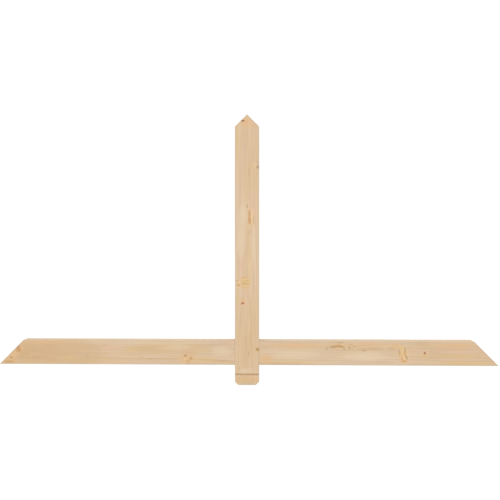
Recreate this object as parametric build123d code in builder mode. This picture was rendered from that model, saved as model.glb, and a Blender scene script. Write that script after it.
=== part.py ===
"""Timber gable bracket: a king post lapped flush over a tie beam, cut to sit under a roof of one pitch.

The bracket lies on its back. X runs along the tie beam, Y up the king post and Z out of the front
face. The origin is on the back face, where the centre lines of the two boards cross.
"""

import math
import os

from build123d import *

# The roof that the bracket sits under, in millimetres
span = 1828.8  # tie beam, tip to tip along its lower edge
roof_rise = 12.0  # roof pitch, as rise over run
roof_run = 12.0

# The two planed boards
beam_face = 88.9
post_face = 88.9
thickness = 38.1  # of both boards, so that they lie flush front and back
arris_radius = 1.0  # long edges, only just eased

# The cross lap, with the king post in front
post_lap = 19.05  # depth of the housing in the tie beam, and what is left of the post there
lap_gap = 0.1  # at each shoulder, for a joint that closes by hand

# The foot of the king post
post_drop = 74.0  # below the tie beam
foot_corner = 12.0  # sawn off each corner, at 45 degrees
groove_rise = 39.0  # V groove's centre line above the foot
groove_width = 6.35  # across the face, from a 90 degree cutter

# Heights along the king post, measured from the tie beam's centre line
eaves_y = -beam_face / 2
apex_y = eaves_y + span / 2 * roof_rise / roof_run
foot_y = eaves_y - post_drop
groove_y = foot_y + groove_rise

back = Plane.XY
front = Plane.XY.offset(thickness)
lap_floor = thickness - post_lap
sides = (-1, 1)

# Saw cuts, each facing away from the timber that is kept
roof_cuts = [
    Plane(origin=(side * span / 2, eaves_y, 0), z_dir=(side * roof_rise, roof_run, 0)) for side in sides
]
foot_cuts = [
    Plane(origin=(side * (post_face / 2 - foot_corner), foot_y, 0), z_dir=(side, -1, 0)) for side in sides
]

# Tie beam: a board along X, mitred to both roof slopes and housed in front for the post
with BuildPart() as tie_beam:
    with BuildSketch(Plane.YZ):
        with Locations((0, thickness / 2)):
            RectangleRounded(beam_face, thickness, arris_radius)
    extrude(amount=span / 2, both=True)
    for cut in roof_cuts:
        split(bisect_by=cut, keep=Keep.BOTTOM)
    with BuildSketch(front):
        Rectangle(post_face + 2 * lap_gap, beam_face)
    extrude(amount=-post_lap, mode=Mode.SUBTRACT)

# King post: a board along Y, peaked by the same two roof cuts and housed behind for the beam
with BuildPart() as king_post:
    with BuildSketch(Plane.XZ.offset(-apex_y)):
        with Locations((0, thickness / 2)):
            RectangleRounded(post_face, thickness, arris_radius)
    extrude(amount=apex_y - foot_y)
    for cut in roof_cuts + foot_cuts:
        split(bisect_by=cut, keep=Keep.BOTTOM)
    with BuildSketch(back):
        Rectangle(post_face, beam_face + 2 * lap_gap)
    extrude(amount=lap_floor, mode=Mode.SUBTRACT)
    # The V groove is a square on its corner, with its diagonal in the front face
    with BuildSketch(Plane.YZ):
        with Locations((groove_y, thickness)):
            Rectangle(groove_width / math.sqrt(2), groove_width / math.sqrt(2), rotation=45)
    extrude(amount=post_face / 2, both=True, mode=Mode.SUBTRACT)

tie_beam.part.label = "tie_beam"
king_post.part.label = "king_post"

os.makedirs("parts", exist_ok=True)
export_step(tie_beam.part, "parts/tie_beam.step")
export_step(king_post.part, "parts/king_post.step")
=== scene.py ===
"""Looks of a timber gable bracket: two knotty softwood boards on a pale floor, in soft light.

The bracket lies on its back. X runs along the tie beam, Y up the king post and Z out of the front
face. Objects are in metres. Places and sizes in the wood are millimetres, as on a cutting list.
"""

import logging
import math
from dataclasses import dataclass
from enum import Enum
from typing import Any, ClassVar

import bmesh
import bpy
from bpy.types import Material, Node, NodeSocket, NodeTree, Object
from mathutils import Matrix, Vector


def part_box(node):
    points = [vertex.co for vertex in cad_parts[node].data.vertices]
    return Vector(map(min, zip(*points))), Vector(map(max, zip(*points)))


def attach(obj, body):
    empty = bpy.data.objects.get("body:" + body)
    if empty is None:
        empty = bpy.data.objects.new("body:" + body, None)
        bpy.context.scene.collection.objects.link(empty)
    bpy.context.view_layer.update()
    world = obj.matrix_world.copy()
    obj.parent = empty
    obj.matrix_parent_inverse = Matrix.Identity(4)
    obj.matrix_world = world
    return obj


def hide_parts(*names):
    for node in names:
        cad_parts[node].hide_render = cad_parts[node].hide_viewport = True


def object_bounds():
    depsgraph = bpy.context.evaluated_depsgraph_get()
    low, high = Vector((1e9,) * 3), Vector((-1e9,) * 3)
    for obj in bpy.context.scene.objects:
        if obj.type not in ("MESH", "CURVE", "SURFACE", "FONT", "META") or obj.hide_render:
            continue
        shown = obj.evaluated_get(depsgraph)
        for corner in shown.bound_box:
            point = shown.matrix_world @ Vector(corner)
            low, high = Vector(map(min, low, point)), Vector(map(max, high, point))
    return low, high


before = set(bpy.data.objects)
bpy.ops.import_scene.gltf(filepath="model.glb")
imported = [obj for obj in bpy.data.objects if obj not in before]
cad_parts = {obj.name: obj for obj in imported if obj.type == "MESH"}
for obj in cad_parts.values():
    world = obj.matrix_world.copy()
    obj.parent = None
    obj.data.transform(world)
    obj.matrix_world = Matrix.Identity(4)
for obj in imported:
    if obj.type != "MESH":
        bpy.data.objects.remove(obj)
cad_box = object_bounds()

log = logging.getLogger("gable_bracket")

MM = 0.001
FRONT = cad_box[1].z / MM  # height of the front faces above the floor
RIDGE = cad_box[1].y / MM  # height of the peak, where both roof slopes meet
WHITE = "#ffffff"

MATH = "ShaderNodeMath"
VECTOR = "ShaderNodeVectorMath"
RANGE = "ShaderNodeMapRange"
RAMP = "ShaderNodeValToRGB"
MIX = "ShaderNodeMix"
PARTS = "ShaderNodeSeparateXYZ"
NOISE = "ShaderNodeTexNoise"
MAPPING = "ShaderNodeMapping"
GROUP = "ShaderNodeGroup"
SHADER = "ShaderNodeBsdfPrincipled"
SURFACE = "ShaderNodeOutputMaterial"
SMOOTH = {"interpolation_type": "SMOOTHSTEP"}


def linear(colour: str) -> tuple[float, float, float, float]:
    """Turn an sRGB hex colour into linear RGBA, by the curve of the sRGB standard.

    Args:
        colour: Six hex digits after a hash sign.

    Returns:
        Linear red, green and blue, and an alpha of 1.
    """
    shares = [int(colour[i : i + 2], 16) / 255 for i in (1, 3, 5)]
    red, green, blue = (s / 12.92 if s <= 0.04045 else ((s + 0.055) / 1.055) ** 2.4 for s in shares)
    return red, green, blue, 1.0


def add_node(
    tree: NodeTree, kind: str, inputs: dict[str | int, Any] | None = None, **settings: Any
) -> Node:
    """Add a node to a tree, with its links and settings.

    Args:
        tree: The tree that gets the node.
        kind: The node's type name in Blender.
        inputs: What feeds each input, by name or number. A socket is linked and a value is set.
        **settings: Properties of the node.

    Returns:
        The new node.
    """
    node = tree.nodes.new(kind)
    for name, value in settings.items():
        setattr(node, name, value)
    for key, value in (inputs or {}).items():
        if isinstance(value, NodeSocket):
            tree.links.new(value, node.inputs[key])
        else:
            node.inputs[key].default_value = value
    return node


def empty_tree(owner: Material | bpy.types.World) -> NodeTree:
    """Empty the node tree of a material or a world.

    Args:
        owner: The material or world.

    Returns:
        Its tree, with no nodes in it.
    """
    owner.use_nodes = True
    owner.node_tree.nodes.clear()
    return owner.node_tree


def new_group(name: str, kind: str, inputs: dict[str, str], output: str) -> NodeTree:
    """Start a node group.

    Args:
        name: The group's name.
        kind: The group's type name in Blender.
        inputs: Name and kind of each input.
        output: Kind of its one output.

    Returns:
        The group, with its input node.
    """
    tree = bpy.data.node_groups.new(name, kind)
    for socket, content in inputs.items():
        tree.interface.new_socket(socket, in_out="INPUT", socket_type=f"NodeSocket{content}")
    tree.interface.new_socket("Result", in_out="OUTPUT", socket_type=f"NodeSocket{output}")
    add_node(tree, "NodeGroupInput")
    return tree


def put(name: str, data: bpy.types.ID) -> Object:
    """Put a new object into the scene, at the origin.

    Args:
        name: The object's name.
        data: Its mesh, lamp or camera.

    Returns:
        The object.
    """
    thing = bpy.data.objects.new(name, data)
    bpy.context.scene.collection.objects.link(thing)
    return thing


class Grain(Enum):
    """Which way a board's fibres run on the bracket."""

    ALONG_BEAM = (1.0, 0.0, 0.0)
    UP_POST = (0.0, 1.0, 0.0)

    def turn(self) -> float:
        """Angle about Z that brings the fibres to X."""
        return 0.0 if self is Grain.ALONG_BEAM else -math.pi / 2

    def place(self, x: float, y: float) -> tuple[float, float]:
        """Turn a place on the bracket into one along and across the fibres."""
        return (x, y) if self is Grain.ALONG_BEAM else (y, -x)

    def stretch(self, along: float, across: float) -> tuple[float, float, float]:
        """Sizes along X, Y and Z of something with one size along the fibres and one across."""
        return (along, across, across) if self is Grain.ALONG_BEAM else (across, along, across)


@dataclass(frozen=True)
class MarkLook:
    """How one kind of mark in the wood looks.

    Attributes:
        stops: From the centre to the reach: share of the way, colour and cover.
        ragged: How far its outline wanders, as a share of its reach.
        broken: How much fibres of plain wood run through it, from 0 to 1.
        depth: How far it goes into the board, in millimetres.
        hard: Whether it is a knot, which the rings flow round and which stands proud.
    """

    stops: tuple[tuple[float, str, float], ...]
    ragged: float = 0.3
    broken: float = 0.0
    depth: float = 30.0
    hard: bool = False


class Figure(Enum):
    """Kinds of marks in knotty softwood. Knots narrow towards the pith, which lies behind the boards."""

    DARK_KNOT = MarkLook(
        ((0.0, "#6d4b2d", 1.0), (0.32, "#8a6541", 0.9), (0.55, "#d0a679", 0.7), (1.0, "#e0bb92", 0.0)),
        ragged=0.18, depth=44.0, hard=True
    )
    RED_KNOT = MarkLook(
        ((0.0, "#8a5233", 1.0), (0.3, "#a26c49", 0.9), (0.5, "#deae88", 0.7), (1.0, "#e4bf9a", 0.0)),
        ragged=0.18, depth=44.0, hard=True
    )
    GREY_KNOT = MarkLook(
        ((0.0, "#98825f", 0.9), (0.4, "#a8916c", 0.7), (0.7, "#cfb690", 0.4), (1.0, "#dcc4a2", 0.0)),
        ragged=0.25, depth=26.0, hard=True
    )
    YELLOW_KNOT = MarkLook(
        ((0.0, "#9b7840", 0.95), (0.35, "#b08d56", 0.8), (0.6, "#d6b580", 0.6), (1.0, "#dcbe92", 0.0)),
        ragged=0.2, depth=44.0, hard=True
    )
    TAN_KNOT = MarkLook(
        ((0.0, "#ab8656", 0.9), (0.4, "#b99566", 0.75), (0.65, "#d8b384", 0.5), (1.0, "#dcb98c", 0.0)),
        ragged=0.25, depth=44.0, hard=True
    )
    BRANCH = MarkLook(  # a branch that the saw has laid open along its length
        ((0.0, "#dfb983", 0.9), (0.55, "#dfba87", 0.7), (1.0, "#debd90", 0.0)),
        ragged=0.35, broken=0.1, depth=45.0, hard=True
    )
    PITCH = MarkLook(
        ((0.0, "#c58d5a", 0.95), (0.5, "#cc9a68", 0.8), (1.0, "#d8b084", 0.0)), ragged=0.3, broken=0.15
    )
    FLECK = MarkLook(((0.0, "#a88157", 0.9), (0.4, "#b28d63", 0.75), (1.0, "#c8a97f", 0.0)), ragged=0.3)
    PALE = MarkLook(((0.0, "#efc894", 0.9), (0.5, "#ebc697", 0.7), (1.0, "#e1c19b", 0.0)), ragged=0.3)
    WARM = MarkLook(
        ((0.0, "#deb283", 0.85), (0.5, "#deb688", 0.65), (1.0, "#ddbb91", 0.0)),
        ragged=0.4, broken=0.25, depth=60.0
    )
    PINK = MarkLook(
        ((0.0, "#dcb798", 0.9), (0.5, "#ddba9d", 0.65), (1.0, "#dec0a5", 0.0)),
        ragged=0.4, broken=0.15, depth=60.0
    )
    YELLOW = MarkLook(
        ((0.0, "#d6b77f", 0.85), (0.5, "#d8ba86", 0.65), (1.0, "#dabe92", 0.0)),
        ragged=0.35, broken=0.25, depth=60.0
    )
    TAN = MarkLook(
        ((0.0, "#ceaa7d", 0.85), (0.6, "#d1ae82", 0.65), (1.0, "#d8b88e", 0.0)),
        ragged=0.3, broken=0.2, depth=60.0
    )
    CREAM = MarkLook(
        ((0.0, "#e0ccae", 0.85), (0.5, "#e0caab", 0.65), (1.0, "#dfc6a5", 0.0)),
        ragged=0.4, broken=0.2, depth=60.0
    )
    GREY = MarkLook(  # a greyer, darker tone, laid along the foot's bottom edge
        ((0.0, "#b9ad99", 0.85), (0.6, "#c0b4a0", 0.6), (1.0, "#cdbfa8", 0.0)), ragged=0.35, broken=0.3
    )


@dataclass(frozen=True)
class Mark:
    """One mark in a board, as it shows on the front face.

    Attributes:
        figure: What kind of mark it is.
        x: Centre on the bracket, along the tie beam.
        y: Centre on the bracket, up the king post.
        along: Reach from its centre along the fibres.
        across: Reach from its centre across the fibres.
        strength: Share of the kind's cover.
        turn: Degrees that it leans anticlockwise from the fibres.
    """

    figure: Figure
    x: float
    y: float
    along: float
    across: float
    strength: float = 1.0
    turn: float = 0.0

    def axes(self, grain: Grain) -> dict[str | int, Any]:
        """Place the mark in its board.

        Args:
            grain: Which way the board's fibres run.

        Returns:
            Its centre, and the ways along it and across it divided by its reach.
        """
        cosine, sine = math.cos(math.radians(self.turn)), math.sin(math.radians(self.turn))
        return {
            "Centre": (*grain.place(self.x, self.y), FRONT),
            "Along": (cosine / self.along, sine / self.along, 0.0),
            "Across": (-sine / self.across, cosine / self.across, 0.0),
        }


@dataclass(frozen=True)
class Pattern:
    """Size of a noise in the wood.

    Attributes:
        along: Distance from crest to crest along the fibres.
        across: Distance from crest to crest across the fibres.
        detail: Octaves of finer noise.
    """

    along: float
    across: float
    detail: float


@dataclass(frozen=True)
class PlanedSoftwood:
    """Knotty softwood, kiln dried and planed, with no finish on it.

    Pale tan earlywood and thin, darker latewood lines, a dull sheen that is a little brighter on the
    latewood, darker and rougher end grain where a saw has cut the fibres, and edges that have gone
    grey from handling.

    Attributes:
        early: Colour of the earlywood.
        late: Colour of the latewood.
        tones: Colours that the earlywood drifts between.
        tone_places: Where in the noise of the drift each of them lies.
        tone_share: Share of the drift in the earlywood's colour.
        pith: Place of the tree's centre, across the fibres and above the back of the board.
        ring_width: One year's growth.
        taper: Share by which the rings widen along the fibres.
        late_start: Shares of a year's growth between which latewood sets in.
        late_end: Shares of it between which the latewood ends.
        late_depth: Strength of the faintest and of the clearest latewood line.
        seed: Start of every noise.
        end_grain: What a sawn end gives back of the light, as a colour.
        end_rings: What latewood gives back of that on a sawn end.
        handled: Colour of handled edges.
        handled_reach: Breadth of the grey along an edge.
        handled_cover: How much of the wood it covers at the edge.
        handled_patches: Least and greatest share of that cover, which comes in patches.
        dull: Roughness of the earlywood.
        sheen: Roughness of the latewood.
        sawn_dull: What a sawn end adds to the roughness.
        ior: Index of refraction.
        specular: Level of the specular reflection.
        fibre: Bundles of fibres, drawn coarser than real ones, which are too fine to show.
        fibre_light: What the bundles give back of the light, by the noise.
        drift: Patches of one tone.
        wander: Bends in the rings.
        wander_height: Height of those bends.
        outline: Bends in the outline of a mark.
        sink: How far the depth of a mark wanders either way.
        streak: Streaks of plain wood in a mark.
        streak_span: Values of the noise between which such a streak fades.
        nap: Raised fibres, drawn coarser than real ones so that they show.
        late_lift: How far latewood stands up, as a share of the raised fibres.
        saw_pitch: Distance between saw marks, drawn coarser than the real millimetre or so.
        saw_wander: How far saw marks stray from an arc, as the wave's distortion.
        saw_wander_scale: Scale of that straying.
        blade: Height of the saw blade's centre above the back of the board.
        bump: Strength of the bump.
        bump_height: Height of the bump.
    """

    LANE: ClassVar[float] = 20.0  # what sets noises of one size apart
    PUSH: ClassVar[float] = 0.8  # how far a knot pushes the grain, as a share of the way to its centre
    PUSH_FALL: ClassVar[float] = 3.0  # how fast that push falls off towards the knot's reach
    WAVE: ClassVar[float] = math.pi / 10  # length of a wave in Blender's wave texture at scale 1
    PLACING: ClassVar[dict[str, str]] = dict.fromkeys(("Place", "Centre", "Along", "Across"), "Vector")

    early: str = "#dfc5a5"
    late: str = "#d6b790"
    tones: tuple[str, str, str] = ("#ddc29c", "#dfc4a3", "#dfc2a7")
    tone_places: tuple[float, float, float] = (0.36, 0.5, 0.64)
    tone_share: float = 0.7
    pith: tuple[float, float] = (-18.0, -75.0)
    ring_width: float = 4.2
    taper: float = 0.008
    late_start: tuple[float, float] = (0.3, 0.88)
    late_end: tuple[float, float] = (0.9, 1.0)
    late_depth: tuple[float, float] = (0.2, 1.0)
    seed: float = 0.0
    end_grain: str = "#dcc9b2"
    end_rings: str = "#c4a27c"
    handled: str = "#c4b9a6"
    handled_reach: float = 6.0
    handled_cover: float = 0.75
    handled_patches: tuple[float, float] = (0.25, 1.0)
    dull: float = 0.68
    sheen: float = 0.56
    sawn_dull: float = 0.15
    ior: float = 1.5
    specular: float = 0.3
    fibre: Pattern = Pattern(150.0, 4.5, 2.0)
    fibre_light: tuple[tuple[float, str, float], ...] = ((0.3, "#f4f4f4", 1.0), (0.7, WHITE, 1.0))
    drift: Pattern = Pattern(240.0, 38.0, 2.0)
    wander: Pattern = Pattern(520.0, 160.0, 1.5)
    wander_height: float = 14.0
    outline: Pattern = Pattern(16.0, 7.0, 1.5)
    sink: float = 2.0
    streak: Pattern = Pattern(46.0, 4.0, 1.0)
    streak_span: tuple[float, float] = (0.32, 0.64)
    nap: Pattern = Pattern(60.0, 2.6, 2.0)
    late_lift: float = 0.6
    saw_pitch: float = 2.5
    saw_wander: float = 1.5
    saw_wander_scale: float = 0.3
    blade: float = 400.0
    bump: float = 0.3
    bump_height: float = 0.3

    def material(
        self, name: str, grain: Grain, half_face: float, foot: float, marks: tuple[Mark, ...]
    ) -> Material:
        """Build the wood of one board.

        Args:
            name: Name of the material.
            grain: Which way the fibres run.
            half_face: Half the breadth of the board's face.
            foot: Height of the board's lowest edge on the bracket.
            marks: The marks in the board.

        Returns:
            The material.
        """
        made = bpy.data.materials.new(name)
        tree = empty_tree(made)
        spot = add_node(tree, "ShaderNodeTexCoord").outputs["Object"]
        spot = add_node(tree, MAPPING, {0: spot, "Scale": (1 / MM,) * 3}).outputs[0]
        place = add_node(tree, MAPPING, {0: spot, "Rotation": (0, 0, grain.turn())}).outputs[0]
        sawn = add_node(tree, "ShaderNodeAttribute", attribute_name=PlanedRelief.SAWN).outputs["Fac"]

        wobbles = [self.noise(tree, place, self.outline, lane) for lane in (0, 1)]
        depth = {0: wobbles[0], 3: -self.sink, 4: self.sink}
        sink = add_node(tree, RANGE, depth, clamp=False).outputs[0]
        sunk = self.push_aside(tree, place, 2, sink)  # no mark keeps to one depth
        streaks = self.noise(tree, place, self.streak)
        span = dict(zip((1, 2), self.streak_span))
        streaks = add_node(tree, RANGE, {0: streaks, **span}, clamp=False, **SMOOTH).outputs[0]
        shared = {}
        for look in dict.fromkeys(mark.figure.value for mark in marks):
            spread = {3: -look.ragged / 2, 4: look.ragged / 2}
            feeds = {
                "Wobble Along": {0: wobbles[0], **spread},
                "Wobble Across": {0: wobbles[1], **spread},
                "Kept": {0: streaks, 3: 1.0 - look.broken, 4: 1.0},
            }
            shared[look] = {
                socket: add_node(tree, RANGE, feed, clamp=False).outputs[0]
                for socket, feed in feeds.items()
            }
        rings = self.rings(tree, place, grain, [mark for mark in marks if mark.figure.value.hard])
        colour, late = self.clear_wood(tree, place, rings)
        for mark in marks:
            inputs = {"Colour": colour, "Place": sunk, "Strength": mark.strength}
            inputs |= {**shared[mark.figure.value], **mark.axes(grain)}
            colour = add_node(tree, GROUP, inputs, node_tree=self.mark_group(mark.figure)).outputs[0]
        colour = self.handled_edges(tree, colour, spot, place, streaks, half_face, foot)
        cut_late = add_node(tree, MATH, {0: sawn, 1: late}, operation="MULTIPLY").outputs[0]
        multiply = {"data_type": "RGBA", "blend_type": "MULTIPLY"}
        for share, tint in ((sawn, self.end_grain), (cut_late, self.end_rings)):
            colour = add_node(tree, MIX, {0: share, 6: colour, 7: linear(tint)}, **multiply).outputs[2]
        bump = self.surface(tree, spot, place, late, sawn)
        roughness = add_node(tree, RANGE, {0: late, 3: self.dull, 4: self.sheen}).outputs[0]
        roughness = add_node(
            tree, MATH, {0: sawn, 1: self.sawn_dull, 2: roughness}, operation="MULTIPLY_ADD"
        ).outputs[0]
        finish = {"Base Color": colour, "Roughness": roughness, "Normal": bump}
        gloss = {"IOR": self.ior, "Specular IOR Level": self.specular}
        shader = add_node(tree, SHADER, {**finish, **gloss})
        add_node(tree, SURFACE, {"Surface": shader.outputs[0]})
        return made

    def noise(self, tree: NodeTree, place: NodeSocket, pattern: Pattern, lane: int = 0) -> NodeSocket:
        """Add a noise of one size to a tree.

        Args:
            tree: The material's tree.
            place: Place in the board.
            pattern: Size of the noise.
            lane: Number that sets noises of one size apart.

        Returns:
            The noise, from 0 to 1.
        """
        scale = (1 / pattern.along, 1 / pattern.across, 1 / pattern.across)
        scaled = add_node(tree, MAPPING, {0: place, "Scale": scale}).outputs[0]
        start = self.seed + self.LANE * lane
        inputs = {"Vector": scaled, "W": start, "Scale": 1.0, "Detail": pattern.detail}
        return add_node(tree, NOISE, inputs, noise_dimensions="4D").outputs["Fac"]

    def mark_group(self, figure: Figure) -> NodeTree:
        """Build the node group that lays one kind of mark over the wood.

        Cycles keeps what waits for other values on a small stack, and works out clamps and conversions
        last. So a mark has none of them, and what marks of one kind share comes before the first mark.

        Args:
            figure: The kind of mark.

        Returns:
            A group that gives the colour with the mark.
        """
        name = f"mark_{figure.name.lower()}"
        if name in bpy.data.node_groups:
            return bpy.data.node_groups[name]
        look = figure.value
        numbers = dict.fromkeys(("Wobble Along", "Wobble Across", "Kept", "Strength"), "Float")
        inputs = {"Colour": "Color", **self.PLACING, **numbers}
        tree = new_group(name, "ShaderNodeTree", inputs, "Color")
        given = tree.nodes[0].outputs

        # Distance from the mark's centre, in shares of its reach
        offset = add_node(
            tree, VECTOR, {0: given["Place"], 1: given["Centre"]}, operation="SUBTRACT"
        ).outputs[0]
        deep = add_node(
            tree, VECTOR, {0: offset, 1: (0.0, 0.0, 1.0 / look.depth)}, operation="DOT_PRODUCT"
        ).outputs["Value"]
        square = add_node(tree, MATH, {0: deep, 1: deep}, operation="MULTIPLY").outputs[0]
        for way in ("Along", "Across"):
            share = add_node(
                tree, VECTOR, {0: offset, 1: given[way]}, operation="DOT_PRODUCT"
            ).outputs["Value"]
            wobble = given[f"Wobble {way}"]
            share = add_node(tree, MATH, {0: share, 1: wobble}, operation="ADD").outputs[0]
            square = add_node(
                tree, MATH, {0: share, 1: share, 2: square}, operation="MULTIPLY_ADD"
            ).outputs[0]
        distance = add_node(tree, MATH, {0: square}, operation="SQRT").outputs[0]

        # The mark's colour, and how much of it covers the wood
        ramp = add_node(tree, RAMP, {0: distance})
        self.set_stops(ramp, look.stops)
        cover = ramp.outputs["Alpha"]
        for share in (given["Kept"], given["Strength"]):
            cover = add_node(tree, MATH, {0: cover, 1: share}, operation="MULTIPLY").outputs[0]
        layers = {0: cover, 6: given["Colour"], 7: ramp.outputs["Color"]}
        colour = add_node(tree, MIX, layers, data_type="RGBA").outputs[2]
        add_node(tree, "NodeGroupOutput", {0: colour})
        return tree

    def push_group(self) -> NodeTree:
        """Build the node group that tells how far a knot pushes the grain aside.

        Returns:
            The group. Its push falls off like a bell and turns round at the knot's centre.
        """
        name = "knot_push"
        if name in bpy.data.node_groups:
            return bpy.data.node_groups[name]
        tree = new_group(name, "ShaderNodeTree", self.PLACING, "Float")
        given = tree.nodes[0].outputs
        offset = add_node(
            tree, VECTOR, {0: given["Place"], 1: given["Centre"]}, operation="SUBTRACT"
        ).outputs[0]
        shares = [
            add_node(tree, VECTOR, {0: offset, 1: given[way]}, operation="DOT_PRODUCT").outputs["Value"]
            for way in ("Along", "Across")
        ]
        square = add_node(tree, MATH, {0: shares[0], 1: shares[0]}, operation="MULTIPLY").outputs[0]
        square = add_node(
            tree, MATH, {0: shares[1], 1: shares[1], 2: square}, operation="MULTIPLY_ADD"
        ).outputs[0]
        fall = add_node(tree, MATH, {0: square, 1: -self.PUSH_FALL}, operation="MULTIPLY").outputs[0]
        near = add_node(tree, MATH, {0: fall}, operation="EXPONENT").outputs[0]
        aside = add_node(
            tree, VECTOR, {0: offset, 1: (0.0, -self.PUSH, 0.0)}, operation="DOT_PRODUCT"
        ).outputs["Value"]
        push = add_node(tree, MATH, {0: near, 1: aside}, operation="MULTIPLY").outputs[0]
        add_node(tree, "NodeGroupOutput", {0: push})
        return tree

    def rings(
        self, tree: NodeTree, place: NodeSocket, grain: Grain, knots: list[Mark]
    ) -> NodeSocket:
        """Count the growth rings from the pith.

        Args:
            tree: The material's tree.
            place: Place in the board.
            grain: Which way the fibres run.
            knots: The marks that push the grain aside.

        Returns:
            The number of rings, with its fraction.
        """
        pith = Vector((0.0, *self.pith))
        from_pith = add_node(tree, VECTOR, {0: place, 1: pith}, operation="SUBTRACT").outputs[0]
        bent = from_pith
        for axis in (1, 2):
            bend = self.noise(tree, place, self.wander, axis)
            height = {3: -self.wander_height / 2, 4: self.wander_height / 2}
            bend = add_node(tree, RANGE, {0: bend, **height}, clamp=False).outputs[0]
            bent = self.push_aside(tree, bent, axis, bend)
        for knot in knots:
            axes = knot.axes(grain)
            axes["Centre"] = Vector(axes["Centre"]) - pith
            inputs = {"Place": from_pith, **axes}
            push = add_node(tree, GROUP, inputs, node_tree=self.push_group()).outputs[0]
            bent = self.push_aside(tree, bent, 1, push)
        section = add_node(tree, VECTOR, {0: bent, 1: (0.0, 1.0, 1.0)}, operation="MULTIPLY").outputs[0]
        radius = add_node(tree, VECTOR, {0: section}, operation="LENGTH").outputs["Value"]
        along = add_node(
            tree, VECTOR, {0: from_pith, 1: (1.0, 0.0, 0.0)}, operation="DOT_PRODUCT"
        ).outputs["Value"]
        grown = add_node(
            tree, MATH, {0: along, 1: self.taper, 2: radius}, operation="MULTIPLY_ADD"
        ).outputs[0]
        return add_node(tree, MATH, {0: grown, 1: self.ring_width}, operation="DIVIDE").outputs[0]

    @staticmethod
    def push_aside(tree: NodeTree, place: NodeSocket, axis: int, distance: NodeSocket) -> NodeSocket:
        """Shift a place along one axis.

        Args:
            tree: The material's tree.
            place: The place.
            axis: Number of the axis.
            distance: How far to shift it.

        Returns:
            The new place.
        """
        way = tuple(float(number == axis) for number in range(3))
        shift = add_node(tree, VECTOR, {0: way, "Scale": distance}, operation="SCALE").outputs[0]
        return add_node(tree, VECTOR, {0: place, 1: shift}, operation="ADD").outputs[0]

    def clear_wood(
        self, tree: NodeTree, place: NodeSocket, rings: NodeSocket
    ) -> tuple[NodeSocket, NodeSocket]:
        """Colour the wood between the marks.

        Args:
            tree: The material's tree.
            place: Place in the board.
            rings: The number of rings, with its fraction.

        Returns:
            The colour, and how much of it is latewood.
        """
        share = add_node(tree, MATH, {0: rings}, operation="FRACT").outputs[0]
        start = {0: share, **dict(zip((1, 2), self.late_start))}
        rise = add_node(tree, RANGE, start, clamp=False, **SMOOTH).outputs[0]
        stop = {0: share, **dict(zip((1, 2), self.late_end)), 3: 1.0, 4: 0.0}
        end = add_node(tree, RANGE, stop, clamp=False, **SMOOTH).outputs[0]
        line = add_node(tree, MATH, {0: rise, 1: end}, operation="MULTIPLY").outputs[0]
        number = add_node(tree, MATH, {0: rings}, operation="FLOOR").outputs[0]
        luck = add_node(
            tree, "ShaderNodeTexWhiteNoise", {"W": number}, noise_dimensions="1D"
        ).outputs["Value"]
        strength = {0: luck, **dict(zip((3, 4), self.late_depth))}
        depth = add_node(tree, RANGE, strength, clamp=False).outputs[0]
        late = add_node(tree, MATH, {0: line, 1: depth}, operation="MULTIPLY").outputs[0]

        tone = add_node(tree, RAMP, {0: self.noise(tree, place, self.drift)})
        stops = tuple((where, hue, 1.0) for where, hue in zip(self.tone_places, self.tones))
        self.set_stops(tone, stops)
        layers = {0: self.tone_share, 6: linear(self.early), 7: tone.outputs["Color"]}
        early = add_node(tree, MIX, layers, data_type="RGBA").outputs[2]
        layers = {0: late, 6: early, 7: linear(self.late)}
        ringed = add_node(tree, MIX, layers, data_type="RGBA").outputs[2]
        light = add_node(tree, RAMP, {0: self.noise(tree, place, self.fibre)})
        self.set_stops(light, self.fibre_light)
        layers = {0: 1.0, 6: ringed, 7: light.outputs["Color"]}
        colour = add_node(tree, MIX, layers, data_type="RGBA", blend_type="MULTIPLY").outputs[2]
        return colour, late

    def handled_edges(
        self,
        tree: NodeTree,
        colour: NodeSocket,
        spot: NodeSocket,
        place: NodeSocket,
        streaks: NodeSocket,
        half_face: float,
        foot: float,
    ) -> NodeSocket:
        """Grey the bare edges of the board's faces.

        Args:
            tree: The material's tree.
            colour: The wood's colour.
            spot: Place on the bracket.
            place: Place in the board.
            streaks: Noise along the fibres, from 0 to 1.
            half_face: Half the breadth of the board's face.
            foot: Height of the board's lowest edge on the bracket.

        Returns:
            The colour with grey edges.
        """
        x, y, z = add_node(tree, PARTS, {0: spot}).outputs
        in_board = add_node(tree, VECTOR, {0: place}, operation="ABSOLUTE").outputs[0]
        halves = {0: (half_face,) * 3, 1: in_board}
        inside = add_node(tree, VECTOR, halves, operation="SUBTRACT").outputs[0]
        inside = add_node(tree, PARTS, {0: inside}).outputs
        # Where the boards cross, their faces are flush and no edge is bare
        sides = {0: inside["Y"], 1: inside["X"]}
        from_side = add_node(tree, MATH, sides, operation="MAXIMUM").outputs[0]
        from_foot = add_node(tree, MATH, {0: y, 1: foot}, operation="SUBTRACT").outputs[0]
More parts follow.
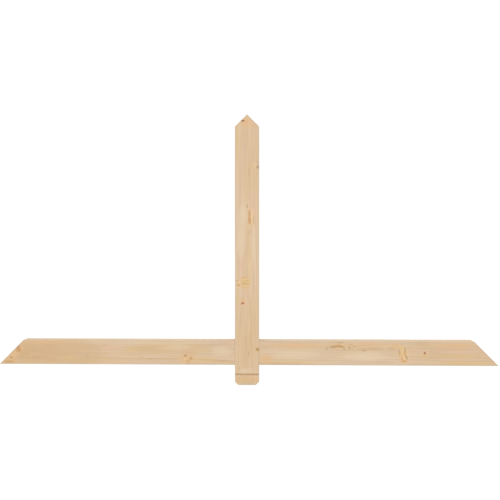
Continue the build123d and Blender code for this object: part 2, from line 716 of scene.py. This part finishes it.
        # Both roof slopes fall at 45 degrees from the peak
        out = add_node(tree, MATH, {0: x}, operation="ABSOLUTE").outputs[0]
        out = add_node(tree, MATH, {0: out, 1: y}, operation="ADD").outputs[0]
        below = add_node(tree, MATH, {0: RIDGE, 1: out}, operation="SUBTRACT").outputs[0]
        from_roof = add_node(tree, MATH, {0: below, 1: math.sqrt(0.5)}, operation="MULTIPLY").outputs[0]
        outline = add_node(tree, MATH, {0: from_side, 1: from_foot}, operation="MINIMUM").outputs[0]
        outline = add_node(tree, MATH, {0: outline, 1: from_roof}, operation="MINIMUM").outputs[0]
        from_front = add_node(tree, MATH, {0: FRONT, 1: z}, operation="SUBTRACT").outputs[0]
        from_face = add_node(tree, MATH, {0: from_front, 1: z}, operation="MINIMUM").outputs[0]
        edge = add_node(tree, MATH, {0: outline, 1: from_face}, operation="MAXIMUM").outputs[0]
        fade = {0: edge, 1: 0.0, 2: self.handled_reach, 3: self.handled_cover, 4: 0.0}
        cover = add_node(tree, RANGE, fade, **SMOOTH).outputs[0]
        patchy = {0: streaks, **dict(zip((3, 4), self.handled_patches))}
        patches = add_node(tree, RANGE, patchy, clamp=False).outputs[0]
        cover = add_node(tree, MATH, {0: cover, 1: patches}, operation="MULTIPLY").outputs[0]
        layers = {0: cover, 6: colour, 7: linear(self.handled)}
        return add_node(tree, MIX, layers, data_type="RGBA").outputs[2]

    def surface(
        self, tree: NodeTree, spot: NodeSocket, place: NodeSocket, late: NodeSocket, sawn: NodeSocket
    ) -> NodeSocket:
        """Raise fibres and latewood on planed faces, and arcs of saw marks on sawn ends.

        Args:
            tree: The material's tree.
            spot: Place on the bracket.
            place: Place in the board.
            late: How much of the wood is latewood.
            sawn: Whether a saw has cut the face.

        Returns:
            The direction of the surface.
        """
        fibres = self.noise(tree, place, self.nap)
        planed = add_node(
            tree, MATH, {0: late, 1: self.late_lift, 2: fibres}, operation="MULTIPLY_ADD"
        ).outputs[0]
        centre = (0.0, 0.0, self.blade)
        blade = add_node(tree, VECTOR, {0: spot, 1: centre}, operation="SUBTRACT").outputs[0]
        wave = {"Vector": blade, "Scale": self.WAVE / self.saw_pitch}
        stray = {"Distortion": self.saw_wander, "Detail Scale": self.saw_wander_scale}
        rings = {"wave_type": "RINGS", "rings_direction": "SPHERICAL"}
        arcs = add_node(tree, "ShaderNodeTexWave", {**wave, **stray}, **rings).outputs["Fac"]
        height = add_node(tree, MIX, {0: sawn, 2: planed, 3: arcs}, data_type="FLOAT").outputs[0]
        relief = {"Strength": self.bump, "Distance": self.bump_height * MM, "Height": height}
        return add_node(tree, "ShaderNodeBump", relief).outputs[0]

    @staticmethod
    def set_stops(ramp: Node, stops: tuple[tuple[float, str, float], ...]) -> None:
        """Give a colour ramp its stops.

        Args:
            ramp: The ramp's node.
            stops: Place, colour and cover of each stop.
        """
        ramp.color_ramp.interpolation = "EASE"
        elements = ramp.color_ramp.elements
        while len(elements) < len(stops):
            elements.new(1.0)
        for element, (position, colour, cover) in zip(elements, stops):
            element.position = position
            element.color = (*linear(colour)[:3], cover)


@dataclass(frozen=True)
class PlanedRelief:
    """How a planed board departs from a flat one: slow ripples, proud knots and dented edges.

    Attributes:
        ripple: Height of the ripples on the front face.
        ripple_size: Length and breadth of a ripple.
        swell: How far a knot stands proud, because it shrinks less than the wood round it.
        swell_reach: How far from a knot's centre the swelling goes.
        dent: Depth of the deepest dents along the edges.
        dent_size: Length of a dent.
        cell: Side of the mesh's cells.
        sliver: Distance below which corners of cells become one.
        seed: Start of every noise.
    """

    NAME: ClassVar[str] = "planed_relief"
    SAWN: ClassVar[str] = "sawn"  # attribute of the faces that a saw has cut
    SLANT: ClassVar[tuple[float, float]] = (0.3, 0.6)  # cosines over which a face turns across or up
    GROOVE: ClassVar[float] = 0.45  # how sawn the groove's walls look: its cutter left them cleaner
    FACING: ClassVar[tuple[float, float]] = (0.8, 0.99)  # cosines over which a face is the front one
    EASED: ClassVar[tuple[float, float]] = (0.85, 0.99)  # greatest cosine on an edge and on a flat face
    DENTED: ClassVar[tuple[float, float]] = (0.52, 0.78)  # noise at a dent's rim and at its deepest
    MEAN: ClassVar[float] = 0.5  # mean of a noise

    ripple: float = 0.3
    ripple_size: tuple[float, float] = (260.0, 50.0)
    swell: float = 0.25
    swell_reach: float = 11.0
    dent: float = 0.6
    dent_size: float = 18.0
    cell: float = 5.0
    sliver: float = 0.06
    seed: float = 0.0

    def tree(self) -> NodeTree:
        """Build the Geometry Nodes tree that both boards share.

        Returns:
            The tree.
        """
        if self.NAME in bpy.data.node_groups:
            return bpy.data.node_groups[self.NAME]
        inputs = {"Geometry": "Geometry", "Grain": "Vector", "Ripple Size": "Vector"}
        sizes = ("Ripple", "Swell", "Swell Reach", "Dent", "Dent Size", "Seed")
        inputs |= {**dict.fromkeys(sizes, "Float"), "Knots": "Object", "Timber": "Material"}
        tree = new_group(self.NAME, "GeometryNodeTree", inputs, "Geometry")
        given = tree.nodes[0].outputs
        place = add_node(tree, "GeometryNodeInputPosition").outputs[0]
        normal = add_node(tree, "GeometryNodeInputNormal").outputs[0]

        # A face is sawn where it cuts the fibres, and less so on the walls of the groove
        facing = add_node(
            tree, VECTOR, {0: normal, 1: given["Grain"]}, operation="DOT_PRODUCT"
        ).outputs["Value"]
        facing = add_node(tree, MATH, {0: facing}, operation="ABSOLUTE").outputs[0]
        slant = dict(zip((1, 2), self.SLANT))
        sawn = add_node(tree, RANGE, {0: facing, **slant}).outputs[0]
        up = add_node(tree, PARTS, {0: normal}).outputs["Z"]
        clean = add_node(tree, RANGE, {0: up, **slant, 3: 1.0, 4: self.GROOVE}).outputs[0]
        sawn = add_node(tree, MATH, {0: sawn, 1: clean}, operation="MULTIPLY").outputs[0]
        board = add_node(
            tree,
            "GeometryNodeStoreNamedAttribute",
            {"Geometry": given["Geometry"], "Name": self.SAWN, "Value": sawn},
            data_type="FLOAT",
            domain="FACE",
        ).outputs[0]

        # Ripples and proud knots on the front face alone, because the back lies flat on the wall
        front = add_node(tree, RANGE, {0: up, **dict(zip((1, 2), self.FACING))}).outputs[0]
        waves = add_node(tree, VECTOR, {0: place, 1: given["Ripple Size"]}, operation="DIVIDE").outputs[0]
        start = {"W": given["Seed"], "Scale": 1.0}
        waves = add_node(tree, NOISE, {"Vector": waves, **start}, noise_dimensions="4D").outputs[0]
        waves = add_node(tree, MATH, {0: waves, 1: self.MEAN}, operation="SUBTRACT").outputs[0]
        waves = add_node(tree, MATH, {0: waves, 1: given["Ripple"]}, operation="MULTIPLY").outputs[0]
        knots = add_node(tree, "GeometryNodeObjectInfo", {"Object": given["Knots"]}).outputs["Geometry"]
        away = add_node(
            tree, "GeometryNodeProximity", {0: knots}, target_element="POINTS"
        ).outputs["Distance"]
        swell = {0: away, 2: given["Swell Reach"], 3: given["Swell"], 4: 0.0}
        proud = add_node(tree, RANGE, swell, **SMOOTH).outputs[0]
        height = add_node(tree, MATH, {0: waves, 1: proud}, operation="ADD").outputs[0]
        height = add_node(tree, MATH, {0: height, 1: front}, operation="MULTIPLY").outputs[0]

        # Dents where a face turns into the next one
        square = add_node(tree, VECTOR, {0: normal}, operation="ABSOLUTE").outputs[0]
        square = add_node(tree, PARTS, {0: square}).outputs
        most = add_node(tree, MATH, {0: square["X"], 1: square["Y"]}, operation="MAXIMUM").outputs[0]
        most = add_node(tree, MATH, {0: most, 1: square["Z"]}, operation="MAXIMUM").outputs[0]
        eased = {0: most, **dict(zip((1, 2), self.EASED)), 3: 1.0, 4: 0.0}
        edge = add_node(tree, RANGE, eased, **SMOOTH).outputs[0]
        dents = add_node(tree, VECTOR, {0: place, 1: given["Dent Size"]}, operation="DIVIDE").outputs[0]
        dents = add_node(tree, NOISE, {"Vector": dents, **start}, noise_dimensions="4D").outputs[0]
        dented = {0: dents, **dict(zip((1, 2), self.DENTED)), 3: 0.0, 4: given["Dent"]}
        dents = add_node(tree, RANGE, dented, **SMOOTH).outputs[0]
        dents = add_node(tree, MATH, {0: dents, 1: edge}, operation="MULTIPLY").outputs[0]
        height = add_node(tree, MATH, {0: height, 1: dents}, operation="SUBTRACT").outputs[0]
        offset = add_node(tree, VECTOR, {0: normal, "Scale": height}, operation="SCALE").outputs[0]
        moved = {"Geometry": board, "Offset": offset}
        board = add_node(tree, "GeometryNodeSetPosition", moved).outputs[0]
        board = add_node(tree, "GeometryNodeRealizeInstances", {0: board}).outputs[0]
        dressed = {0: board, "Material": given["Timber"]}
        board = add_node(tree, "GeometryNodeSetMaterial", dressed).outputs[0]
        add_node(tree, "NodeGroupOutput", {0: board})
        return tree

    def inputs(self, grain: Grain, knots: Object, timber: Material) -> dict[str, Any]:
        """List the tree's inputs for one board, in metres.

        Args:
            grain: Which way the fibres run.
            knots: A point at each knot.
            timber: The board's material.

        Returns:
            Each input's value, by its name.
        """
        return {
            "Grain": grain.value,
            "Ripple Size": tuple(size * MM for size in grain.stretch(*self.ripple_size)),
            "Ripple": self.ripple * MM,
            "Swell": self.swell * MM,
            "Swell Reach": self.swell_reach * MM,
            "Dent": self.dent * MM,
            "Dent Size": self.dent_size * MM,
            "Seed": self.seed,
            "Knots": knots,
            "Timber": timber,
        }


@dataclass(frozen=True)
class Board:
    """One planed board of the bracket.

    Attributes:
        node: Name of the board's node in the frame.
        slot: A material slot for its timber. It is not used.
        grain: Which way its fibres run.
        wood: Its timber.
        relief: How it departs from a flat board.
        marks: The marks in it.
    """

    WELD: ClassVar[float] = 0.001  # distance at which corners of the frame's loose triangles are one
    FLAT: ClassVar[float] = math.radians(0.5)  # bend below which two faces are one
    ON_CUT: ClassVar[float] = 0.01  # distance at which a corner lies on a cut already
    SHARP: ClassVar[float] = math.radians(12)  # bend above which an edge shows as sharp

    node: str
    slot: str
    grain: Grain
    wood: PlanedSoftwood
    relief: PlanedRelief
    marks: tuple[Mark, ...]

    def half_face(self) -> float:
        """Half the breadth of the board's face."""
        low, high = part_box(self.node)
        return (high - low)[1 if self.grain is Grain.ALONG_BEAM else 0] / 2 / MM

    def foot(self) -> float:
        """Height of the board's lowest edge on the bracket."""
        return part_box(self.node)[0].y / MM

    def blank(self) -> Object:
        """Copy the board from the frame and cut its faces into small cells.

        Returns:
            The blank board.
        """
        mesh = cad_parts[self.node].data.copy()
        if mesh.has_custom_normals:  # the cells get normals of their own
            mesh.attributes.remove(mesh.attributes["custom_normal"])
        shape = bmesh.new()
        shape.from_mesh(mesh)
        bmesh.ops.remove_doubles(shape, verts=shape.verts, dist=self.WELD * MM)
        bmesh.ops.dissolve_limit(shape, angle_limit=self.FLAT, verts=shape.verts, edges=shape.edges)
        low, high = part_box(self.node)
        for axis in (Vector((1, 0, 0)), Vector((0, 1, 0))):
            start, end = low.dot(axis), high.dot(axis)
            count = round((end - start) / (self.relief.cell * MM))
            for number in range(1, count):
                cut = axis * (start + (end - start) * number / count)
                everything = [*shape.verts, *shape.edges, *shape.faces]
                bmesh.ops.bisect_plane(
                    shape, geom=everything, dist=self.ON_CUT * MM, plane_co=cut, plane_no=axis
                )
        # Cuts through the frame's long triangles on the eased edges leave slivers
        bmesh.ops.remove_doubles(shape, verts=shape.verts, dist=self.relief.sliver * MM)
        shape.to_mesh(mesh)
        shape.free()
        mesh.materials.clear()
        return put(f"{self.node}_board", mesh)

    def knots(self) -> Object:
        """Put a point at each knot on the front face.

        Returns:
            An object whose mesh has those points alone.
        """
        hard = [mark for mark in self.marks if mark.figure.value.hard]
        mesh = bpy.data.meshes.new(f"{self.node}_knots")
        mesh.from_pydata([(mark.x * MM, mark.y * MM, FRONT * MM) for mark in hard], [], [])
        return put(f"{self.node}_knots", mesh)

    def build(self) -> Object:
        """Make the board with its relief and its timber.

        Returns:
            The finished board.
        """
        board = self.blank()
        knots = self.knots()
        timber = self.wood.material(
            f"planed_knotty_softwood_{self.node}", self.grain, self.half_face(), self.foot(), self.marks
        )
        modifier = board.modifiers.new(self.relief.NAME, "NODES")
        modifier.node_group = self.relief.tree()
        sockets = [s for s in modifier.node_group.interface.items_tree if s.in_out == "INPUT"]
        identifiers = {socket.name: socket.identifier for socket in sockets}
        for name, value in self.relief.inputs(self.grain, knots, timber).items():
            modifier[identifiers[name]] = value
        depsgraph = bpy.context.evaluated_depsgraph_get()
        plain = bpy.data.meshes.new_from_object(
            board.evaluated_get(depsgraph), preserve_all_data_layers=True, depsgraph=depsgraph
        )
        board.modifiers.remove(modifier)
        board.data = plain
        bpy.data.objects.remove(knots)
        plain.shade_smooth()
        plain.set_sharp_from_angle(angle=self.SHARP)
        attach(board, "root")
        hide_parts(self.node)
        return board


KING_POST = Board(
    node="king_post",
    slot="king_post_timber",
    grain=Grain.UP_POST,
    wood=PlanedSoftwood(pith=(6.0, -55.0), seed=3.0),
    relief=PlanedRelief(seed=3.0),
    marks=(
        # Slow changes of tone, from the peak down
        Mark(Figure.TAN, 6, 690, 190, 60, 0.3),
        Mark(Figure.TAN, 4, 30, 190, 70, 0.4),
        Mark(Figure.WARM, -4, 842, 26, 34),
        Mark(Figure.WARM, 27, 826, 14, 14, 0.7),
        Mark(Figure.YELLOW, -33, 780, 90, 6, 0.8),
        Mark(Figure.PINK, 23, 540, 70, 22, 0.9),
        Mark(Figure.CREAM, -17, 505, 55, 18),
        Mark(Figure.CREAM, -22, 410, 100, 20, 0.8),
        Mark(Figure.CREAM, 25, 400, 90, 14, 0.6),
        Mark(Figure.YELLOW, 3, 440, 60, 12, 0.5),
        Mark(Figure.YELLOW, 7, 360, 80, 11, 0.6),
        Mark(Figure.TAN, 1, 400, 70, 3.5, 0.5),
        Mark(Figure.PINK, -17, 325, 45, 15, 0.8),
        Mark(Figure.YELLOW, 12, 285, 45, 7, 0.8),
        Mark(Figure.PINK, -5, 226, 16, 24, 0.7),
        Mark(Figure.YELLOW, -31, 185, 60, 6, 0.6),
        Mark(Figure.YELLOW, -31, 60, 70, 6, 0.8),
        Mark(Figure.TAN, 12, 48, 45, 7, 0.5),
        Mark(Figure.PINK, 38, 37, 16, 9, 0.8),
        Mark(Figure.CREAM, -14, -67, 14, 18, 0.8),
        Mark(Figure.CREAM, 8, -65, 15, 30, 0.5),
        Mark(Figure.TAN, 0, -104, 24, 70, 0.7),
        Mark(Figure.YELLOW, -3, -99, 16, 18, 0.8),
        Mark(Figure.WARM, -25, -97, 15, 12, 0.8),
        Mark(Figure.WARM, 25, -95, 15, 14, 0.7),
        # A greyer, darker band along the foot's bottom edge
        Mark(Figure.GREY, 0, -118, 9, 40, 0.8),
        # Short streaks
        Mark(Figure.TAN, 8.6, 514, 20, 9),
        Mark(Figure.PITCH, 9.3, 503, 24, 8, 0.6),
        Mark(Figure.PITCH, 9.6, 484, 20, 9, 0.95),
        Mark(Figure.PALE, 8, 527, 8, 9, 0.5),
        Mark(Figure.PALE, 17.5, 496, 44, 6.5, 0.9),
        Mark(Figure.FLECK, 24, 485, 26, 3.4, 0.55),
        Mark(Figure.FLECK, 0.2, 536, 11, 3.6, 0.7),
        Mark(Figure.FLECK, 7.9, 440, 14, 3, 0.5),
        Mark(Figure.FLECK, 6.4, 661, 24, 4, 0.3),
        Mark(Figure.FLECK, 6.8, -4, 17, 3.4, 0.5),
        Mark(Figure.FLECK, -27.7, -58, 8, 2.6, 0.35),
        Mark(Figure.FLECK, -27.7, -96, 10, 2.6, 0.3),
        # The branch below the middle, in bands across the fibres
        Mark(Figure.BRANCH, -9, 259, 30, 31),
        Mark(Figure.YELLOW, -8, 257, 24, 25, 0.6),
        Mark(Figure.FLECK, -9, 276, 4.5, 22, 0.32, turn=3),
        Mark(Figure.PALE, -8, 270, 4, 22, 0.5, turn=-2),
        Mark(Figure.PITCH, 0, 265.4, 3.5, 11, 0.4),
        Mark(Figure.FLECK, -7, 253, 5.5, 24, 0.32, turn=-3),
        Mark(Figure.PALE, -6, 246.4, 4.5, 23, 0.35),
        Mark(Figure.FLECK, -7, 240.5, 3.5, 17, 0.2),
        Mark(Figure.FLECK, -35, 265, 3.5, 9, 0.6),
        Mark(Figure.PALE, -28, 257, 12, 8, 0.9),
        Mark(Figure.PALE, -30.5, 240.5, 5, 8, 0.7),
        Mark(Figure.PITCH, -31.6, 248.2, 8.5, 8.5),
        Mark(Figure.YELLOW, -31.6, 249, 11, 9, 0.55),
        # Knots, from the peak down
        Mark(Figure.DARK_KNOT, -15.3, 846.8, 7.5, 13),
        Mark(Figure.GREY_KNOT, 40.5, 678.5, 11, 12),
        Mark(Figure.PALE, 27, 684, 16, 9, 0.5),
        Mark(Figure.FLECK, 38, 699, 12, 4, 0.25),
        Mark(Figure.WARM, -16, 189, 17, 17),
        Mark(Figure.PINK, -16, 176, 9, 14, 0.6),
        Mark(Figure.RED_KNOT, -15.5, 182.3, 8, 13),
        Mark(Figure.FLECK, -23.2, 177.9, 4, 4, 0.5),
        Mark(Figure.YELLOW_KNOT, 37.9, 12.8, 12, 12),
    ),
)

TIE_BEAM = Board(
    node="tie_beam",
    slot="tie_beam_timber",
    grain=Grain.ALONG_BEAM,
    wood=PlanedSoftwood(
        early="#dcc1a2",
        late="#d1b189",
        tones=("#dabd94", "#dcc1a1", "#ddbfa6"),
        pith=(-76.0, -62.0),
        ring_width=5.5,
        seed=11.0,
    ),
    relief=PlanedRelief(seed=11.0),
    marks=(
        # Slow changes of tone, from the left end on
        Mark(Figure.TAN, -800, 0, 360, 90),
        Mark(Figure.TAN, 830, 0, 190, 80, 0.35),
        Mark(Figure.TAN, 690, 0, 150, 70, 0.3),
        Mark(Figure.YELLOW, -320, 0, 260, 60, 0.22),
        Mark(Figure.CREAM, 195, 0, 170, 55, 0.3),
        Mark(Figure.WARM, -740, 36, 130, 9, 0.9),
        Mark(Figure.CREAM, -400, 36, 300, 11, 0.55),
        Mark(Figure.YELLOW, -800, -37, 90, 7, 0.6),
        Mark(Figure.PINK, -779, -4.4, 30, 5, 0.5),
        Mark(Figure.YELLOW, -660, -20, 50, 7, 0.8),
        Mark(Figure.PINK, -498, 14, 50, 18, 0.8),
        Mark(Figure.YELLOW, -520, -24, 45, 7, 0.7),
        Mark(Figure.YELLOW, -425, 10, 34, 16, 0.6),
        Mark(Figure.WARM, -480, -35, 60, 7, 0.6),
        Mark(Figure.TAN, -370, 16, 70, 20, 0.4),
        Mark(Figure.CREAM, -250, 22, 60, 10, 0.6),
        Mark(Figure.TAN, -212, 0, 44, 18, 0.6),
        Mark(Figure.WARM, -215, -24, 50, 24),
        Mark(Figure.YELLOW, -150, -26, 60, 14, 0.8),
        Mark(Figure.CREAM, -92, 6, 48, 26, 0.7),
        Mark(Figure.YELLOW, -95, -37, 65, 5, 0.6),
        Mark(Figure.PINK, -58, 38, 18, 8, 0.8),
        Mark(Figure.WARM, 180, 28, 140, 11),
        Mark(Figure.WARM, 70, -22, 36, 24, 0.9),
        Mark(Figure.CREAM, 180, -6, 120, 20, 0.7),
        Mark(Figure.WARM, 190, -33, 110, 6, 0.6),
        Mark(Figure.CREAM, 430, -12, 110, 22),
        Mark(Figure.WARM, 440, 33, 120, 9, 0.8),
        Mark(Figure.WARM, 545, 26, 24, 14, 0.9),
        Mark(Figure.PINK, 608, 8, 22, 16, 0.6),
        Mark(Figure.TAN, 640, 31, 40, 9, 0.5),
        Mark(Figure.WARM, 755, 29, 95, 12),
        Mark(Figure.PINK, 770, 6, 105, 9),
        Mark(Figure.YELLOW, 765, -9, 115, 8),
        Mark(Figure.PINK, 775, -22, 110, 7),
        Mark(Figure.YELLOW, 785, -35, 130, 8),
        # Stain and pitch along the left mitre
        Mark(Figure.WARM, -862, -10, 62, 17, turn=45),
        Mark(Figure.WARM, -868, -22, 40, 13, 0.9, turn=45),
        Mark(Figure.WARM, -860, -31, 26, 10, 0.8),
        Mark(Figure.PITCH, -842, 9, 17, 13, 0.95, turn=40),
        Mark(Figure.FLECK, -846, 19, 13, 5, turn=45),
        Mark(Figure.PALE, -831, 12.5, 8, 6, 0.4),
        Mark(Figure.PITCH, -878, -36, 26, 9),
        Mark(Figure.YELLOW, -874, -36, 26, 9, 0.45),
        Mark(Figure.FLECK, -870.3, -20.3, 9, 5.5, 0.9),
        Mark(Figure.FLECK, -859.8, -27, 7, 4, 0.3),
        # Short streaks
        Mark(Figure.FLECK, -781, -20.5, 20, 4, 0.3),
        Mark(Figure.PITCH, -721, -30, 24, 3.5, 0.5),
        Mark(Figure.FLECK, -590, -10, 6, 4, 0.35),
        Mark(Figure.FLECK, -390, -18, 22, 3.5, 0.3),
        Mark(Figure.FLECK, -360, -24, 22, 3.5, 0.3),
        Mark(Figure.PITCH, -100, -31, 60, 3.5, 0.35),
        # Curly grain
        Mark(Figure.FLECK, 291, 16.5, 8, 5, 0.6),
        Mark(Figure.WARM, 330, 27, 40, 11, 0.8),
        Mark(Figure.FLECK, 326, 24.5, 38, 7, 0.6),
        Mark(Figure.PITCH, 333, 27, 17, 7, 0.7),
        Mark(Figure.FLECK, 314, 22, 17, 6, 0.65, turn=10),
        Mark(Figure.FLECK, 345, 24, 14, 6, 0.7, turn=-10),
        Mark(Figure.PALE, 350, 33, 8, 3.5, 0.8),
        Mark(Figure.FLECK, 339, 38.7, 22, 3.6, 0.55),
        Mark(Figure.PALE, 338, 17, 14, 4.5, 0.5),
        Mark(Figure.FLECK, 355.5, 16, 6, 6.5, 0.5, turn=20),
        Mark(Figure.PALE, 364, 18.5, 6, 6, 0.6, turn=30),
        Mark(Figure.FLECK, 374, 20, 6.5, 9, 0.6, turn=-30),
        Mark(Figure.PALE, 380, 27, 8, 4, 0.6, turn=30),
        Mark(Figure.FLECK, 381, 32.5, 10, 3.4, 0.55, turn=15),
        Mark(Figure.PALE, 393, 32, 9, 3.5, 0.6),
        Mark(Figure.TAN, 391, 25.5, 14, 4.5, turn=10),
        Mark(Figure.PALE, 394, 18, 9, 4, 0.4),
        Mark(Figure.FLECK, 426.5, 10.5, 15, 6, 0.5),
        Mark(Figure.TAN, 468, 17, 46, 7, 0.9),
        Mark(Figure.PALE, 501.6, 19.6, 4, 8, 0.5),
        Mark(Figure.TAN, 525, 18, 18, 8, 0.9),
        # The branch on the right, laid open across the fibres
        Mark(Figure.BRANCH, 568, -3, 22, 36),
        Mark(Figure.YELLOW, 565, 19, 14, 14),
        Mark(Figure.FLECK, 555.5, 3, 4.5, 20, 0.6, turn=8),
        Mark(Figure.YELLOW, 562.5, 10, 3.5, 14),
        Mark(Figure.PALE, 567, 8, 4, 20, 0.7, turn=4),
        Mark(Figure.FLECK, 575, 12, 5, 15, 0.65),
        Mark(Figure.PITCH, 574, 0, 5, 13, 0.7, turn=6),
        Mark(Figure.FLECK, 581, -14, 5.5, 14, 0.8, turn=14),
        Mark(Figure.PALE, 572.5, -18, 5.5, 11, turn=8),
        Mark(Figure.PITCH, 565, -19, 5, 10, 0.85),
        Mark(Figure.WARM, 572, -29, 24, 10),
        Mark(Figure.PITCH, 571, -28, 13, 6, 0.7),
        Mark(Figure.PALE, 585, 0, 5, 16, 0.4),
        Mark(Figure.FLECK, 584.5, 3.5, 3, 3.5, 0.3),
        # Knots, from the left end on
        Mark(Figure.TAN_KNOT, -226.5, -11, 12, 8),
        Mark(Figure.TAN_KNOT, -205.8, -20.8, 7, 10),
        Mark(Figure.PALE, -226, -24, 9, 6, 0.6),
        Mark(Figure.PITCH, -217, -31, 14, 6, 0.6),
        Mark(Figure.FLECK, -216, -41, 14, 4.5, 0.5),
        Mark(Figure.PINK, 657.7, 4.5, 9, 7, 0.9),
        Mark(Figure.PINK, 633, 4, 9, 8, 0.8),
        Mark(Figure.YELLOW, 647, -9, 18, 11),
        Mark(Figure.RED_KNOT, 646.8, 1.5, 8, 12),
        Mark(Figure.FLECK, 671, -15, 6, 4, 0.35),
    ),
)


@dataclass(frozen=True)
class Studio:
    """The floor, the light and the camera.

    Attributes:
        floor_radius: Radius of the flat part of the floor, in metres.
        floor_sides: Number of the floor's sides.
        floor_gap: How far the floor lies below the bracket, in millimetres.
        sweep: Radius of the curve that takes the floor's rim up out of the picture, in metres.
        sweep_steps: Number of steps in that curve.
        floor_grey: What the floor gives back of the light that falls on it.
        floor_dull: Roughness of the floor.
        floor_glow: Light that comes through the floor, as a share of white. It washes out shadows.
        dome: Light from all round, as a share of white.
        key: Light of the far softbox on a face square to it, as a share of white.
        key_width: Angle that the softbox fills, seen from the bracket, in degrees.
        key_tilt: Angle from straight above to the softbox, towards the peak, in degrees.
        camera_place: Where the camera stands, in metres.
        camera_pitch: Turn of the camera about X from looking straight down, in degrees.
        camera_yaw: Turn of the camera about Y from looking straight down, in degrees.
        lens: Focal length, in millimetres.
        sensor: Side of the square picture on the sensor, in millimetres.
    """

    floor_radius: float = 20.0
    floor_sides: int = 96
    floor_gap: float = 0.5
    sweep: float = 14.0
    sweep_steps: int = 18
    floor_grey: str = "#626262"
    floor_dull: float = 0.9
    floor_glow: float = 0.95
    dome: float = 0.55
    key: float = 0.455
    key_width: float = 50.0
    key_tilt: float = 22.0
    camera_place: tuple[float, float, float] = (0.0515, 0.4174, 2.0637)
    camera_pitch: float = -1.1475
    camera_yaw: float = 1.150
    lens: float = 40.0
    sensor: float = 36.0

    def floor(self) -> Object:
        """Lay the floor under the bracket, with its rim swept up all round so that no horizon shows.

        Returns:
            The floor.
        """
        under = cad_box[0].z - self.floor_gap * MM
        climbs = [math.radians(90 * step / self.sweep_steps) for step in range(self.sweep_steps + 1)]
        rims = [
            (self.floor_radius + self.sweep * math.sin(a), self.sweep * (1 - math.cos(a))) for a in climbs
        ]
        sides = self.floor_sides
        turns = [math.tau * side / sides for side in range(sides)]
        corners = [(r * math.cos(t), r * math.sin(t), under + z) for r, z in rims for t in turns]
        faces = [tuple(range(sides))]
        for ring in range(self.sweep_steps):
            inner, outer = ring * sides, (ring + 1) * sides
            for side in range(sides):
                after = (side + 1) % sides
                faces.append((inner + side, outer + side, outer + after, inner + after))
        mesh = bpy.data.meshes.new("floor")
        mesh.from_pydata(corners, [], faces)
        mesh.shade_smooth()
        mesh.materials.append(self.light_table())
        floor = put("floor", mesh)
        return floor

    def light_table(self) -> Material:
        """Build the floor's opal acrylic, lit from below: an even white without shadows.

        Returns:
            The material.
        """
        opal = bpy.data.materials.new("opal_acrylic_lit")
        tree = empty_tree(opal)
        sheet = {"Base Color": linear(self.floor_grey), "Roughness": self.floor_dull}
        glow = {"Emission Color": linear(WHITE), "Emission Strength": self.floor_glow}
        shader = add_node(tree, SHADER, {**sheet, "Specular IOR Level": 0.0, **glow})
        add_node(tree, SURFACE, {"Surface": shader.outputs[0]})
        return opal

    def light(self) -> Object:
        """Light the bracket from all round and from a softbox beyond the peak.

        Returns:
            The softbox.
        """
        world = bpy.data.worlds.new("soft_dome")
        tree = empty_tree(world)
        dome = add_node(tree, "ShaderNodeBackground", {"Color": linear(WHITE), "Strength": self.dome})
        add_node(tree, "ShaderNodeOutputWorld", {"Surface": dome.outputs[0]})
        bpy.context.scene.world = world
        lamp = bpy.data.lights.new("far_softbox", "SUN")
        lamp.energy = self.key * math.pi
        lamp.angle = math.radians(self.key_width)
        softbox = put("far_softbox", lamp)
        softbox.rotation_euler = (-math.radians(self.key_tilt), 0.0, 0.0)
        return softbox

    def camera(self) -> Object:
        """Set the camera where it looks down on the front of the bracket.

        Returns:
            The camera.
        """
        data = bpy.data.cameras.new("camera")
        data.lens = self.lens
        data.sensor_width = self.sensor
        camera = put("camera", data)
        camera.location = self.camera_place
        camera.rotation_mode = "ZXY"
        camera.rotation_euler = (math.radians(self.camera_pitch), math.radians(self.camera_yaw), 0.0)
        bpy.context.scene.camera = camera
        return camera


def main() -> None:
    """Build the boards, then set the floor, the light and the camera."""
    logging.basicConfig(level=logging.INFO, format="%(name)s: %(message)s")
    bpy.context.scene.view_settings.view_transform = "Standard"
    for board in (KING_POST, TIE_BEAM):
        made = board.build()
        log.info("%s: %d faces, %d marks", made.name, len(made.data.polygons), len(board.marks))
    studio = Studio()
    for thing in (studio.floor(), studio.light(), studio.camera()):
        log.info("%s", thing.name)


if __name__ == "__main__":
    main()
